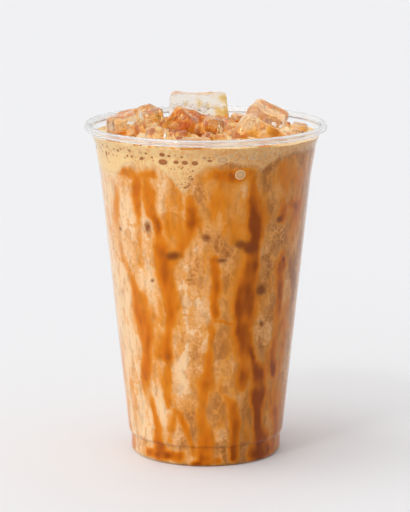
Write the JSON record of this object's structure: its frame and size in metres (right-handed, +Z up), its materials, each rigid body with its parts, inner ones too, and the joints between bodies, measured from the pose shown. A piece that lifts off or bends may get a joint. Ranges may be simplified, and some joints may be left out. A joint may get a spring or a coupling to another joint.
{
  "type": "iced coffee",
  "caption": "Iced caramel milk coffee in a clear flared plastic cup, with froth, syrup and half-melted ice standing out of the drink.",
  "frame": {"origin": "middle of the cup's foot, on the surface it stands on", "axes": "+Z up the cup's axis, -Y towards the front, +X to the right"},
  "size_m": [0.098, 0.098, 0.1451],
  "materials": {
    "clear_plastic": "clear, glossy, thin",
    "milk_coffee": "milky liquid with fine bubbles",
    "froth": "fine foam with open bubbles",
    "caramel": "thick amber syrup",
    "ice": "clear wet ice"
  },
  "bodies": {
    "root": {"cup": "clear_plastic", "drink": "milk_coffee", "froth": "froth", "caramel_pool": "caramel", "ice_back": "ice", "ice_back_left": "ice", "ice_back_right": "ice", "ice_centre": "ice", "ice_chip_left": "ice", "ice_chip_right": "ice", "ice_far_left": "ice", "ice_far_right": "ice", "ice_front": "ice", "ice_front_right": "ice", "ice_left": "ice", "ice_middle": "ice", "ice_right": "ice"}
  },
  "joints": []
}
